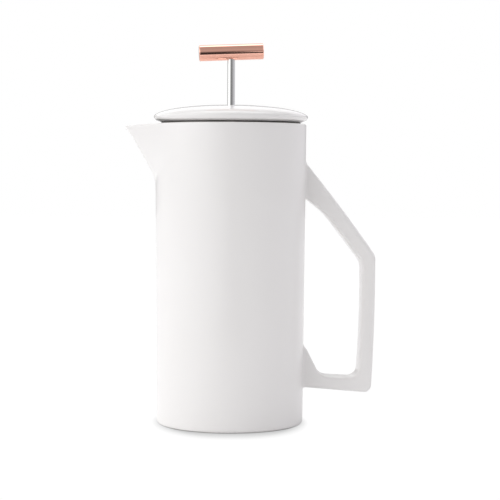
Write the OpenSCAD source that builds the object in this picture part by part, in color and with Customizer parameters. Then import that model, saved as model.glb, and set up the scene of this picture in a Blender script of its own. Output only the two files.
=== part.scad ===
// French press in glazed ceramic: a tall pot with a pulled spout and a luted
// loop handle, a domed lid on a soft ring, and a rod that drives a filter stack.
// Frame: the origin is the centre of the base on the pot's axis, +Z is up, the
// spout points to -X and the handle to +X. The plunger is pressed down.

/* [Pot] */
// Outer diameter at the rim
body_d = 94; // [93:0.5:97]
// Outer diameter at the foot
foot_d = 91.6; // [90.5:0.1:93]
// Height of the rim above the base
body_h = 186.5; // [180:0.5:200]
// Diameter of the straight bore that the filter slides in
bore_d = 84; // [82:0.5:85]
// Thickness of the floor
floor_t = 6; // [4:0.5:8]

/* [Spout] */
// Distance of the spout's tip from the pot's axis
spout_reach = 65.2; // [60:0.2:68]
// How far the tip lies below the rim
spout_dip = 1.4; // [0.5:0.1:3]
// How far below the rim the spout starts to leave the wall
spout_drop = 34; // [28:1:40]

/* [Handle] */
// Distance of the elbow's outside from the pot's axis
handle_reach = 90.8; // [87:0.2:94]
// Height at which the upper arm's outside meets the pot
handle_top_z = 162.8; // [158:0.2:166]
// Height of the elbow's outside corner
elbow_z = 104.8; // [100:0.2:110]
// Height of the lower arm's outside corner
handle_low_z = 18; // [16:0.2:24]
// Width of the upper arm, in the handle's plane
arm_w = 9.6; // [8:0.1:11]
// Width of the lower arm at its corner
low_arm_w = 9.1; // [8:0.1:10]
// Width of the grip, in the handle's plane
grip_w = 8.4; // [7:0.1:9]
// Thickness of the handle across its plane
handle_t = 16; // [12:1:18]

/* [Lid] */
// Diameter of the lid at its widest
lid_d = 96; // [95:0.5:99]
// Height of the lid from its foot to the top of the dome
lid_h = 10.8; // [10:0.2:13]
// Height of the lid's widest line above its foot
lid_edge_h = 3.1; // [2:0.1:3.5]
// Diameter of the lid's foot, which stands on the seal
lid_foot_d = 86.8; // [86.6:0.1:87.4]
// Thickness of the seal, which shows as a dark line
seal_t = 1.0; // [1:0.1:1.6]
// Depth of the strainer's skirt below the lid's foot
skirt_h = 11; // [8:0.5:14]

/* [Plunger] */
// Diameter of the rod
rod_d = 4.8; // [4:0.1:5]
// Height of the bar knob's axis above the base
knob_z = 231.0; // [228:0.1:250]
// Diameter of the bar knob
knob_d = 10; // [9:0.5:12]
// Length of the bar knob
knob_l = 40; // [36:1:48]
// Slight lean of the bar knob, in degrees
knob_tilt = 2.4; // [0:0.2:3]

/* [Hidden] */
$fn = 96;
eps = 0.01;                     // overshoot of a cutter past a face
glaze = "#f2f1ee";
steel = "#c3c6c9";
silicone = "#45423f";
copper = "#cf8f74";

// Pot
body_r = body_d / 2;
foot_r = foot_d / 2;
bore_r = bore_d / 2;
foot_edge = 1.5;                // rounded lower edge of the pot
foot_bevel = 0.3;               // share of that edge which the bevel's middle stands in
rim_edge = 0.8;                 // softened edges of the rim
floor_corner = 3;               // fillet between the floor and the bore
spout_foot_z = body_h - spout_drop;
spout_tip_z = body_h - spout_dip;
spout_slope = (spout_reach - body_r) / (spout_tip_z - spout_foot_z);
spout_half_angle = 46;          // of the V, seen from above, where it meets the wall
spout_root_r = body_r - 1.4;    // the V's sides end inside the wall
spout_wall = 4;

// Handle, in its own plane: x is the distance from the pot's axis, y is the height
grip_lean = 1.45;               // the grip leans in towards its lower end
grip_bow = 0.6;                 // and bows out a little in its middle
arm_bow = 0.7;                  // so does the upper arm's outside
low_arm_rise = 5;               // the lower arm's underside rises towards the pot
low_arm_taper = 1.6;            // and its top rises by this much less
root_x = foot_r - 4;            // the arms start inside the wall and are cut back to it
root_top = [body_r - 0.5, handle_top_z];
elbow = [handle_reach, elbow_z];
grip_run = elbow_z - handle_low_z;
low_corner = [handle_reach - grip_run * tan(grip_lean), handle_low_z];
grip_mid = (elbow + low_corner) / 2 + [grip_bow, 0];
arm_dir = unit(elbow - root_top);
arm_mid = shifted((root_top + elbow) / 2, arm_dir, -arm_bow);
grip_dir = unit(grip_mid - elbow);
grip_low_dir = unit(low_corner - grip_mid);
low_dir = heading(180 - low_arm_rise);
low_in_dir = heading(180 - low_arm_rise + low_arm_taper);
elbow_in = meet(shifted(root_top, arm_dir, arm_w), arm_dir, shifted(elbow, grip_dir, grip_w), grip_dir);
grip_mid_in = meet(elbow_in, grip_dir, shifted(low_corner, grip_low_dir, grip_w), grip_low_dir);
low_in = meet(grip_mid_in, grip_low_dir, shifted(low_corner, low_dir, low_arm_w), low_in_dir);
elbow_r = 9;                    // rounding of the outline's corners
elbow_in_r = 12;
arm_r = 500;
grip_r = 1500;
low_corner_r = 4.5;
low_in_r = 6;
arm_flare_r = 45;
low_flare_r = 9;
low_flare_end_r = 2;
arm_flare_x = body_r + 11.7;    // where the upper arm starts to widen towards the pot
arm_flare_slope = 0.8;
low_flare_x = body_r + 9.2;     // where the lower arm starts to widen towards the pot
low_flare_h = 16.5;
low_flare_w = 8.3;
arm_flare = along(elbow_in, arm_dir, arm_flare_x);
low_flare = along(low_in, low_in_dir, low_flare_x);
low_flare_end = low_flare + [-low_flare_w, low_flare_h];

// Lid
lid_r = lid_d / 2;
lid_foot_r = lid_foot_d / 2;
lid_z = body_h + seal_t;        // the lid's foot
lid_top_z = lid_z + lid_h;
dome_h = lid_h - lid_edge_h;
lid_edge_in = 1.0;              // the lid's edge turns in under its widest line by this much
lid_edge_drop = 1.9;            // and this far below it
recess_r = 36;                  // hollow under the dome
recess_h = 4;
seal_play = 0.1;                // air above and below the seal, so that it isn't squeezed
seal_r_in = bore_r - 0.5;
sheet_t = 0.8;                  // pressed steel sheet
skirt_r = bore_r - 0.8;
slot_n = 28;
slot_w = 2.6;
slot_h = 6;
slot_lift = 2;                  // of the slots above the skirt's lower edge

// Guide bush through the middle of the lid
guide_r = 4;
guide_flange_r = 7;
guide_flange_t = 0.9;
guide_sink = 1.8;               // depth of the seat for the flange in the dome
guide_seat_play = 0.5;          // air round the flange in its seat
guide_seal_t = 0.8;             // soft washer under the flange
guide_nut_af = 13;
guide_nut_h = 4;
guide_end = 0.9;                // thread showing below the nut
washer_t = 1;
washer_r = 8;
guide_play = 0.05;              // running clearance of the rod, on the radius
guide_fit = 0.1;                // clearance of the bush in the lid, on the radius
washer_z = lid_z - sheet_t - washer_t;
guide_nut_z = washer_z - guide_nut_h;
guide_low_z = guide_nut_z - guide_end;

// Filter stack, from the bottom up
filter_lift = 2;                // space left under the stack when it is pressed down
hub_z = floor_t + filter_lift;
hub_flange_t = 1.2;
hub_flange_r = 9;
hub_r = 4;
cross_z = hub_z + hub_flange_t;
cross_r = bore_r - 1.6;
cross_window_r = 14;            // inner radius of the four windows
cross_rim = 4.5;                // metal left outside them
cross_window_a = 68;            // angle that each spans
mesh_z = cross_z + sheet_t;
mesh_t = 0.5;
mesh_r = bore_r - 0.6;
spring_plate_z = mesh_z + mesh_t;
coil_r = 1.7;                   // outer radius of the spring's small coils
wall_play = 0.3;                // between the spring and the wall
spring_r = bore_r - wall_play - coil_r;
spring_plate_r = spring_r - coil_r - 0.1;
plate_window_n = 12;
plate_window_r = 16;
plate_rim = 3.5;
plate_window_a = 18;
clamp_z = spring_plate_z + sheet_t;
lock_nut_gap = 0.3;
lock_nut_z = clamp_z + washer_t + lock_nut_gap;
lock_nut_af = 9;
lock_nut_h = 4;

// Rod and knob
rod_r = rod_d / 2;
knob_r = knob_d / 2;
knob_chamfer = 0.8;
knob_bite = 1.5;                // how far the rod passes the knob's axis

function unit(v) = v / norm(v);
// The direction at an angle above the +X axis
function heading(a) = [cos(a), sin(a)];
// The point p moved w to the right of the direction d
function shifted(p, d, w) = p + w * [d.y, -d.x];
// Where the line through p along u meets the line through q along v
function meet(p, u, q, v) = p + u * cross(q - p, v) / cross(u, v);
// The point with abscissa x on the line through p along d
function along(p, d, x) = p + d * (x - p.x) / d.x;
// Points of the arc of radius r that rounds the corner c between a and b
function corner_arc(a, c, b, r, n = 6) =
    let (
        u = unit(a - c),
        v = unit(b - c),
        half = acos(u * v) / 2,
        centre = c + unit(u + v) * r / sin(half),
        from = c + u * r / tan(half) - centre,
        to = c + v * r / tan(half) - centre,
        sweep = atan2(cross(from, to), from * to)
    )
    [for (i = [0:n]) let (t = sweep * i / n)
        centre + [from.x * cos(t) - from.y * sin(t), from.x * sin(t) + from.y * cos(t)]];
// An outline whose corners are [point, radius]; radius 0 leaves a corner sharp
function rounded(c) =
    let (n = len(c))
    [for (i = [0:n - 1]) each c[i][1] == 0 ? [c[i][0]]
        : corner_arc(c[(i + n - 1) % n][0], c[i][0], c[(i + 1) % n][0], c[i][1])];
// A quarter of an ellipse, from its end on the x axis to its end on the y axis
function quarter(a, b, n = 20) = [for (i = [0:n]) [a * cos(90 * i / n), b * sin(90 * i / n)]];

module tube(r_out, r_in, h) {
    difference() {
        cylinder(r = r_out, h = h);
        translate([0, 0, -eps]) cylinder(r = r_in, h = h + 2 * eps);
    }
}

module hex_nut(af, h, r_in) {
    difference() {
        cylinder(r = af / 2 / cos(30), h = h, $fn = 6);
        translate([0, 0, -eps]) cylinder(r = r_in, h = h + 2 * eps);
    }
}

// A window through a plate, between two radii and over an angle about direction a
module sector_window(r_in, r_out, angle, a, h) {
    rotate([0, 0, a - angle / 2])
        rotate_extrude(angle = angle) translate([r_in, -eps]) square([r_out - r_in, h + 2 * eps]);
}

// The outside of the pot without its spout, filled
module pot_blank() {
    slope = (body_r - foot_r) / body_h;
    rotate_extrude() polygon([
        [0, 0],
        [foot_r - foot_edge, 0],
        [foot_r - foot_bevel * foot_edge, foot_bevel * foot_edge],
        [foot_r + slope * foot_edge, foot_edge],
        [body_r - slope * rim_edge, body_h - rim_edge],
        [body_r - rim_edge, body_h],
        [0, body_h]
    ]);
}

// A wedge with one edge at the spout's tip and its other corners inside the wall
module spout_wedge(tip_r, tip_z, root_r, root_z, foot_r, foot_z) {
    side = [-root_r * cos(spout_half_angle), root_r * sin(spout_half_angle)];
    hull() {
        translate([-tip_r, -0.5, tip_z - 0.5]) cube([0.5, 1, 0.5]);
        for (s = [-1, 1]) translate([side.x, s * side.y - 0.5, root_z - 1]) cube([1, 1, 1]);
        translate([-foot_r, -0.5, foot_z]) cube([1, 1, 1]);
    }
}

module pot_shell() {
    foot_in = 2;                // how far inside the wall the wedge's foot lies
    cut_above = 6;              // the channel's cutter rises past the rim
    color(glaze) difference() {
        union() {
            pot_blank();
            spout_wedge(spout_reach, spout_tip_z, spout_root_r, body_h,
                body_r - foot_in, spout_foot_z - foot_in / spout_slope);
        }
        translate([0, 0, floor_t + floor_corner]) cylinder(r = bore_r, h = body_h);
        translate([0, 0, floor_t])
            cylinder(r1 = bore_r - floor_corner, r2 = bore_r, h = floor_corner + eps);
        translate([0, 0, body_h - rim_edge / 2])
            cylinder(r1 = bore_r, r2 = bore_r + rim_edge, h = rim_edge);
        spout_wedge(spout_reach - spout_wall + cut_above * spout_slope, body_h + cut_above,
            spout_root_r - spout_wall - 1, body_h + cut_above,
            bore_r - foot_in, spout_foot_z + spout_wall / spout_slope - foot_in / spout_slope);
    }
}

module handle() {
    outline = rounded([
        [along(root_top, unit(arm_mid - root_top), root_x), 0],
        [arm_mid, arm_r],
        [elbow, elbow_r],
        [grip_mid, grip_r],
        [low_corner, low_corner_r],
        [along(low_corner, low_dir, root_x), 0],
        [along(low_flare_end, [-1, 1], root_x), 0],
        [low_flare_end, low_flare_end_r],
        [low_flare, low_flare_r],
        [low_in, low_in_r],
        [grip_mid_in, grip_r],
        [elbow_in, elbow_in_r],
        [arm_flare, arm_flare_r],
        [along(arm_flare, [-1, arm_flare_slope], root_x), 0]
    ]);
    color(glaze) difference() {
        rotate([90, 0, 0]) linear_extrude(height = handle_t, center = true) polygon(outline);
        cylinder(r1 = foot_r, r2 = body_r, h = body_h);
    }
}

module lid_seal() {
    color(silicone) translate([0, 0, body_h + seal_play])
        tube(lid_foot_r, seal_r_in, seal_t - 2 * seal_play);
}

module lid_dome() {
    under_edge = [lid_r - lid_edge_in, lid_z + lid_edge_h - lid_edge_drop];
    dome = [for (p = quarter(lid_r, dome_h)) p + [0, lid_z + lid_edge_h]];
    color(glaze) difference() {
        rotate_extrude() polygon(concat([[0, lid_z], [lid_foot_r, lid_z], under_edge], dome));
        translate([0, 0, lid_z - eps]) cylinder(r = recess_r, h = recess_h);
        translate([0, 0, lid_z]) cylinder(r = guide_r + guide_fit, h = lid_h + 1);
        translate([0, 0, lid_top_z - guide_sink])
            cylinder(r = guide_flange_r + guide_seat_play, h = guide_sink + 1);
    }
}

// A pressed pan under the lid, whose slotted skirt strains what reaches the spout
module lid_strainer() {
    skirt_z = lid_z - skirt_h;
    slot_x = skirt_r - 2 * sheet_t;
    color(steel) difference() {
        translate([0, 0, skirt_z]) cylinder(r = skirt_r, h = skirt_h);
        translate([0, 0, skirt_z - eps]) cylinder(r = skirt_r - sheet_t, h = skirt_h - sheet_t + eps);
        translate([0, 0, skirt_z]) cylinder(r = guide_r + guide_fit, h = skirt_h + 1);
        for (i = [0:slot_n - 1]) rotate([0, 0, i * 360 / slot_n])
            translate([slot_x, -slot_w / 2, skirt_z + slot_lift]) cube([3 * sheet_t, slot_w, slot_h]);
    }
}

module guide_bush() {
    flange_z = lid_top_z - guide_sink + guide_seal_t;
    color(steel) difference() {
        union() {
            translate([0, 0, guide_low_z]) cylinder(r = guide_r, h = flange_z - guide_low_z + eps);
            translate([0, 0, flange_z]) cylinder(r = guide_flange_r, h = guide_flange_t);
        }
        translate([0, 0, guide_low_z - eps]) cylinder(r = rod_r + guide_play, h = lid_top_z - guide_low_z);
    }
}

module guide_seal() {
    color(silicone) translate([0, 0, lid_top_z - guide_sink])
        tube(guide_flange_r, guide_r, guide_seal_t);
}

module guide_washer() {
    color(steel) translate([0, 0, washer_z]) tube(washer_r, guide_r, washer_t);
}

module guide_nut() {
    color(steel) translate([0, 0, guide_nut_z]) hex_nut(guide_nut_af, guide_nut_h, guide_r);
}

// The threaded boss that the rod screws into, with a flange under the stack
module filter_hub() {
    color(steel) translate([0, 0, hub_z]) difference() {
        union() {
            cylinder(r = hub_flange_r, h = hub_flange_t);
            cylinder(r = hub_r, h = clamp_z + washer_t - hub_z);
        }
        translate([0, 0, -eps]) cylinder(r = rod_r + guide_play, h = clamp_z + washer_t);
    }
}

// The stiff bottom plate, open between the four arms of a cross
module cross_plate() {
    color(steel) translate([0, 0, cross_z]) difference() {
        tube(cross_r, hub_r, sheet_t);
        for (i = [0:3])
            sector_window(cross_window_r, cross_r - cross_rim, cross_window_a, 45 + 90 * i, sheet_t);
    }
}

module mesh_screen() {
    color(steel) translate([0, 0, mesh_z]) tube(mesh_r, hub_r, mesh_t);
}

// The top plate, whose edge keeps the spring round
module spring_plate() {
    color(steel) translate([0, 0, spring_plate_z]) difference() {
        tube(spring_plate_r, hub_r, sheet_t);
        for (i = [0:plate_window_n - 1])
            sector_window(plate_window_r, spring_plate_r - plate_rim, plate_window_a,
                i * 360 / plate_window_n, sheet_t);
    }
}

// The envelope of a long thin coil spring closed into a ring
module edge_spring() {
    color(steel) translate([0, 0, spring_plate_z + coil_r])
        rotate_extrude() translate([spring_r, 0]) circle(r = coil_r, $fn = 48);
}

module clamp_washer() {
    color(steel) translate([0, 0, clamp_z]) tube(washer_r, hub_r, washer_t);
}

module plunger_rod() {
    color(steel) translate([0, 0, hub_z]) cylinder(r = rod_r, h = knob_z + knob_bite - hub_z);
}

module lock_nut() {
    color(steel) translate([0, 0, lock_nut_z]) hex_nut(lock_nut_af, lock_nut_h, rod_r);
}

// A turned bar with a blind threaded hole across its middle
module knob_bar() {
    color(copper) difference() {
        translate([0, 0, knob_z]) rotate([0, 90 - knob_tilt, 0]) rotate_extrude() polygon([
            [0, -knob_l / 2],
            [knob_r - knob_chamfer, -knob_l / 2],
            [knob_r, -knob_l / 2 + knob_chamfer],
            [knob_r, knob_l / 2 - knob_chamfer],
            [knob_r - knob_chamfer, knob_l / 2],
            [0, knob_l / 2]
        ]);
        translate([0, 0, knob_z - knob_d]) cylinder(r = rod_r, h = knob_d + knob_bite);
    }
}

pot_shell();
handle();
lid_seal();
lid_dome();
lid_strainer();
guide_bush();
guide_seal();
guide_washer();
guide_nut();
filter_hub();
cross_plate();
mesh_screen();
spring_plate();
edge_spring();
clamp_washer();
plunger_rod();
lock_nut();
knob_bar();
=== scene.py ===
"""Looks of a ceramic French press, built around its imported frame. Lengths in metres, angles in radians."""
import math

import bmesh
import bpy
from mathutils import Matrix, Vector


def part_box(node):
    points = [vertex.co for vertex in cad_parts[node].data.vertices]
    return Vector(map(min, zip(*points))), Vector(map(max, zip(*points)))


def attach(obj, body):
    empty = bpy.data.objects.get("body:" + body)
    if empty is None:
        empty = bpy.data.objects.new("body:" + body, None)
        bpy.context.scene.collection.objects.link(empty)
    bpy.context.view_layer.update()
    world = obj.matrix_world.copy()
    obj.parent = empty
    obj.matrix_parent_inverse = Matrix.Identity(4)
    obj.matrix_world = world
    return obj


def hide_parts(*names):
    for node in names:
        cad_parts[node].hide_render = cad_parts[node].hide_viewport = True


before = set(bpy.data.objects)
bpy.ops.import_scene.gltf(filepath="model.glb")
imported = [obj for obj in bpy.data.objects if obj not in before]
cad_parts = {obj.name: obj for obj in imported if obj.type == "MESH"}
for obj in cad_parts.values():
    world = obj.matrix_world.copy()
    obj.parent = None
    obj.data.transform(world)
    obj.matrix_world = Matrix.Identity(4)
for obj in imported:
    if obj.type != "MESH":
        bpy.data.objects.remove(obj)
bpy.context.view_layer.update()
MM = 0.001
TURN = 2 * math.pi

# Sizes read from the frame
POT_LOW, POT_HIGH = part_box("pot_shell")
HANDLE_LOW, HANDLE_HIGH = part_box("handle")
LID_LOW, LID_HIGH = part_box("lid_dome")
SEAL_LOW, SEAL_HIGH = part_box("lid_seal")
ROD_LOW, ROD_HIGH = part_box("plunger_rod")
KNOB_LOW, KNOB_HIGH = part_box("knob_bar")
SPRING_LOW, SPRING_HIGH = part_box("edge_spring")

RIM_Z = POT_HIGH.z
RIM_R = POT_HIGH.y
SPRING_GAP = 0.3 * MM               # the filter's spring stands this clear of the wall
BORE_R = SPRING_HIGH.x + SPRING_GAP
LID_R = LID_HIGH.y
ROD_R = ROD_HIGH.y


# ------------------------ outlines

def flat(x, y):
    return Vector((x, y))


def cross2(a, b):
    return a.x * b.y - a.y * b.x


def meet(p, u, q, v):
    """Where the line through p along u meets the line through q along v."""
    return p + u * (cross2(q - p, v) / cross2(u, v))


def right_of(p, direction, width):
    return p + width * flat(direction.y, -direction.x)


def along(p, direction, x):
    """The point with abscissa x on the line through p."""
    return p + direction * ((x - p.x) / direction.x)


def corner_arc(before, corner, after, radius, steps=6):
    """Points of the arc that rounds a corner, from the side of before to the side of after."""
    u = (before - corner).normalized()
    v = (after - corner).normalized()
    half = math.acos(max(-1.0, min(1.0, u.dot(v)))) / 2
    centre = corner + (u + v).normalized() * radius / math.sin(half)
    start = corner + u * radius / math.tan(half) - centre
    end = corner + v * radius / math.tan(half) - centre
    sweep = math.atan2(cross2(start, end), start.dot(end))
    return [centre + Matrix.Rotation(sweep * i / steps, 2) @ start for i in range(steps + 1)]


def outline(*corners, closed=False, steps=6):
    """A polyline through corners (x, y) or (x, y, radius), with an arc where a radius is given."""
    points = [flat(c[0], c[1]) for c in corners]
    made = []
    for i, corner in enumerate(corners):
        is_end = not closed and i in (0, len(corners) - 1)
        if len(corner) < 3 or is_end:
            made.append(points[i])
        else:
            after = points[(i + 1) % len(points)]
            made += corner_arc(points[i - 1], points[i], after, corner[2], steps)
    return made


def spaced(a, b, n):
    """n numbers from a up to, and without, b."""
    return [a + (b - a) * i / n for i in range(n)]


# ------------------------ meshes

def add_piece(name, shape, body, slot, *nodes, materials=(), sharp=40):
    """A mesh piece of a (verts, faces) shape that rides on a body and stands for CAD nodes.

    Edges over sharp degrees stay crisp."""
    verts, faces = shape
    mesh = bpy.data.meshes.new(name)
    mesh.from_pydata([tuple(v) for v in verts], [], faces)
    mesh.validate()
    piece = bpy.data.objects.new(name, mesh)
    bpy.context.scene.collection.objects.link(piece)
    mesh.shade_smooth()
    mesh.set_sharp_from_angle(angle=math.radians(sharp))
    for material in materials:
        mesh.materials.append(material)
    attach(piece, body)
    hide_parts(*nodes)
    return piece


def loft(rings, closed=False):
    """Faces between rings of equal length. A ring of one point closes an end as a fan."""
    verts, faces, starts = [], [], []
    for ring in rings:
        starts.append(len(verts))
        verts += ring
    pairs = list(zip(range(len(rings) - 1), range(1, len(rings))))
    if closed:
        pairs.append((len(rings) - 1, 0))
    for a, b in pairs:
        n = max(len(rings[a]), len(rings[b]))
        for i in range(n):
            j = (i + 1) % n
            if len(rings[a]) == 1:
                faces.append((starts[a], starts[b] + i, starts[b] + j))
            elif len(rings[b]) == 1:
                faces.append((starts[a] + i, starts[b], starts[a] + j))
            else:
                faces.append((starts[a] + i, starts[b] + i, starts[b] + j, starts[a] + j))
    return verts, faces


def joined(parts):
    """Several (verts, faces) as one."""
    verts, faces = [], []
    for part_verts, part_faces in parts:
        start = len(verts)
        verts += part_verts
        faces += [tuple(start + i for i in face) for face in part_faces]
    return verts, faces


def turned(n):
    """n equal angles round a full turn."""
    return [TURN * i / n for i in range(n)]


def ring_at(radius, z, angles):
    """A level ring of points. The radius and the height may depend on the angle."""
    points = []
    for a in angles:
        r = radius(a) if callable(radius) else radius
        h = z(a) if callable(z) else z
        points.append(Vector((r * math.cos(a), r * math.sin(a), h)))
    return points


ON_AXIS = 1e-7                      # a radius below this counts as none


def revolved(profile, angles, closed=False):
    """A profile of (radius, height) turned about the Z axis. A point on the axis becomes one vertex."""
    rings = [[Vector((0, 0, p.y))] if p.x < ON_AXIS else ring_at(p.x, p.y, angles) for p in profile]
    return loft(rings, closed)


def leave_bare(piece, below, steepness):
    """Gives the second material, bare clay, to the faces under a height that look down."""
    for face in piece.data.polygons:
        if face.center.z < below and face.normal.z < -steepness:
            face.material_index = 1


# ------------------------ materials

class Shade:
    """A node material with one Principled shader, and short ways to feed it patterns in metres."""

    def __init__(self, name, colour, roughness, metallic=0.0, **sockets):
        self.material = bpy.data.materials.new(name)
        self.material.use_nodes = True
        self.tree = self.material.node_tree
        self.shader = self.tree.nodes["Principled BSDF"]
        self.shader.inputs["Base Color"].default_value = (*colour, 1)
        self.shader.inputs["Roughness"].default_value = roughness
        self.shader.inputs["Metallic"].default_value = metallic
        for socket, value in sockets.items():
            self.shader.inputs[socket.replace("_", " ")].default_value = value
        self.place = self.tree.nodes.new("ShaderNodeTexCoord").outputs["Object"]
        self.height = None

    def node(self, kind, settings=None, **inputs):
        made = self.tree.nodes.new("ShaderNode" + kind)
        for key, value in (settings or {}).items():
            setattr(made, key, value)
        for key, value in inputs.items():
            socket = made.inputs[key.replace("_", " ")]
            if isinstance(value, bpy.types.NodeSocket):
                self.tree.links.new(value, socket)
            else:
                socket.default_value = value
        return made

    def stretched(self, scale):
        """Object coordinates scaled along each axis."""
        return self.node("Mapping", Vector=self.place, Scale=scale).outputs["Vector"]

    def noise(self, size, detail, where=None):
        """Noise whose features are about size metres across."""
        at = where or self.place
        return self.node("TexNoise", Vector=at, Scale=1 / size, Detail=detail).outputs["Fac"]

    def ramp(self, value, low, high, to_low=0.0, to_high=1.0):
        """A value between low and high, carried over to another range."""
        fitted = self.node("MapRange", Value=value)
        for key, number in zip(("From Min", "From Max", "To Min", "To Max"), (low, high, to_low, to_high)):
            fitted.inputs[key].default_value = number
        return fitted.outputs["Result"]

    def maths(self, operation, a, b):
        made = self.tree.nodes.new("ShaderNodeMath")
        made.operation = operation
        for socket, value in zip(made.inputs, (a, b)):
            if isinstance(value, bpy.types.NodeSocket):
                self.tree.links.new(value, socket)
            else:
                socket.default_value = value
        return made.outputs[0]

    def tint(self, value, colour_a, colour_b):
        """Base colour that goes from one colour to another with value."""
        mix = self.tree.nodes.new("ShaderNodeMix")
        mix.data_type = "RGBA"
        self.tree.links.new(value, mix.inputs["Factor"])
        mix.inputs["A"].default_value = (*colour_a, 1)
        mix.inputs["B"].default_value = (*colour_b, 1)
        self.tree.links.new(mix.outputs["Result"], self.shader.inputs["Base Color"])

    def roughen(self, value, low, high):
        """Roughness that varies with a noise."""
        self.tree.links.new(self.ramp(value, 0.3, 0.7, low, high), self.shader.inputs["Roughness"])

    def relief(self, value, depth):
        """Bump of a given depth in metres, on top of any relief already there."""
        bump = self.node("Bump", Height=value, Distance=depth, Strength=1.0)
        if self.height is not None:
            self.tree.links.new(self.height, bump.inputs["Normal"])
        self.height = bump.outputs["Normal"]
        self.tree.links.new(self.height, self.shader.inputs["Normal"])


def glaze_material(name, roughness, coat, tone):
    """White glaze with faint pooling in its tone and an uneven skin. A tone under 1 darkens it."""
    s = Shade(name, (0.9, 0.89, 0.87), roughness, Coat_Weight=coat, Coat_Roughness=0.04, IOR=1.5)
    pale, bright = (0.902, 0.885, 0.875), (0.910, 0.893, 0.884)
    s.tint(s.ramp(s.noise(0.05, 1), 0.35, 0.65), [tone * c for c in pale], [tone * c for c in bright])
    s.roughen(s.noise(0.02, 1), roughness * 0.94, roughness * 1.06)
    s.relief(s.noise(0.04, 1), 0.04 * MM)
    s.relief(s.noise(0.003, 1), 0.0015 * MM)
    return s.material


def bisque_material():
    """Unglazed clay on the foot and under the lid."""
    s = Shade("bare_clay", (0.80, 0.76, 0.69), 0.9)
    grain = s.noise(0.0007, 5)
    s.tint(s.ramp(grain, 0.35, 0.65), (0.76, 0.72, 0.65), (0.84, 0.80, 0.74))
    s.relief(grain, 0.05 * MM)
    return s.material


def copper_material():
    """Polished copper with the faint rings that turning leaves."""
    s = Shade("polished_copper", (0.965, 0.53, 0.415), 0.06, metallic=1.0)
    cloud = s.noise(0.006, 2)
    s.tint(s.ramp(cloud, 0.3, 0.7), (0.96, 0.52, 0.405), (0.97, 0.54, 0.425))
    s.roughen(s.noise(0.003, 2), 0.045, 0.07)
    rings = s.noise(1.0, 1, s.stretched((2600.0, 6.0, 6.0)))
    s.relief(rings, 0.0005 * MM)
    return s.material


def rod_material():
    """Polished stainless bar with faint drawing lines along it."""
    s = Shade("polished_steel", (0.80, 0.80, 0.79), 0.1, metallic=1.0)
    lines = s.noise(1.0, 2, s.stretched((4200.0, 4200.0, 14.0)))
    s.roughen(lines, 0.07, 0.14)
    s.relief(lines, 0.0012 * MM)
    return s.material


def silicone_material():
    """Dark silicone with a little dust on it."""
    s = Shade("dark_silicone", (0.1, 0.095, 0.085), 0.25, Specular_IOR_Level=0.7)
    dust = s.noise(0.0009, 4)
    s.tint(s.ramp(dust, 0.4, 0.7), (0.09, 0.085, 0.075), (0.12, 0.115, 0.10))
    s.relief(dust, 0.01 * MM)
    return s.material


def sheet_material():
    """Pressed stainless sheet with a fine brushed grain."""
    s = Shade("brushed_sheet", (0.66, 0.66, 0.65), 0.3, metallic=1.0)
    grain = s.noise(1.0, 3, s.stretched((60.0, 2600.0, 900.0)))
    s.roughen(grain, 0.24, 0.38)
    s.tint(s.ramp(s.noise(0.009, 3), 0.35, 0.65), (0.62, 0.62, 0.615), (0.70, 0.70, 0.69))
    s.relief(grain, 0.004 * MM)
    return s.material


def wire_material():
    """Drawn stainless wire, a little duller than the rod."""
    s = Shade("drawn_wire", (0.70, 0.70, 0.69), 0.22, metallic=1.0)
    s.roughen(s.noise(0.0008, 3), 0.18, 0.32)
    s.relief(s.noise(0.0003, 2), 0.002 * MM)
    return s.material


GLAZE = glaze_material("satin_glaze", 0.3, 0.25, tone=0.945)
GLOSS = glaze_material("gloss_glaze", 0.08, 0.0, tone=0.93)
BISQUE = bisque_material()
COPPER = copper_material()
POLISHED = rod_material()
SILICONE = silicone_material()
SHEET = sheet_material()
WIRE = wire_material()


# ------------------------ pot

SPOUT_REACH = -POT_LOW.x
SPOUT_DIP = 1.4 * MM                # the rim is this much lower at the spout's tip
DIP_CURVE = 0.9                     # the power that the dip grows with
SPOUT_H = 34 * MM
SPOUT_FOOT_Z = RIM_Z - SPOUT_H
SPOUT_SLOPE = (SPOUT_REACH - RIM_R) / (RIM_Z - SPOUT_DIP - SPOUT_FOOT_Z)
SPOUT_SOFT = 1.1 * MM               # how gently the spout leaves the wall at its foot
SPOUT_NOSE = 0.03                   # rounding of the V's edge, as an angle about the pot's axis
NO_SPOUT = 1.00001                  # a reach below this many radii is no spout
LIP = 3.4 * MM                      # thickness of the spout's sides
LIP_SLANT = 1.4                     # they slant, and are this many times as thick along the spout
FOOT_R = RIM_R - 1.2 * MM
FOOT_EDGE = 1.6 * MM
FOOT_RING_W = 9 * MM                # the ring that the pot stands on
RECESS = 0.7 * MM                   # how far the underside within that ring is raised
RECESS_RAMP = 0.8 * MM
RECESS_EDGE = 0.5 * MM
BARE_BELOW = 0.3 * MM               # the foot is unglazed up to this height
WALL_FROM = 4 * MM                  # the outside is straight from this height up
SPOUT_LEAD = 8 * MM                 # the mesh gets finer this far below the spout
RIM_LEAD = 6 * MM                   # the wall's rings stop this far below the rim
FLOOR_Z = 6 * MM
FLOOR_FILLET = 3 * MM
RIM_EDGE = 1.1 * MM


def soft_positive(x, softness):
    """x where it is positive and 0 where it is negative, with a smooth bend between."""
    return softness * math.log1p(math.exp(x / softness))


def wall_radius(z):
    """The outside, which widens evenly from the foot to the rim."""
    return FOOT_R + (RIM_R - FOOT_R) * z / RIM_Z


def v_radius(radius, reach, angle):
    """Distance from the axis of a circle that tangent lines draw out to a rounded point at reach."""
    if reach <= radius * NO_SPOUT:
        return radius
    tangent = math.acos(radius / reach)
    nose = min(SPOUT_NOSE, tangent)
    off = math.hypot(angle, nose) - nose
    return radius if off >= tangent else radius / math.cos(off - tangent)


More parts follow.
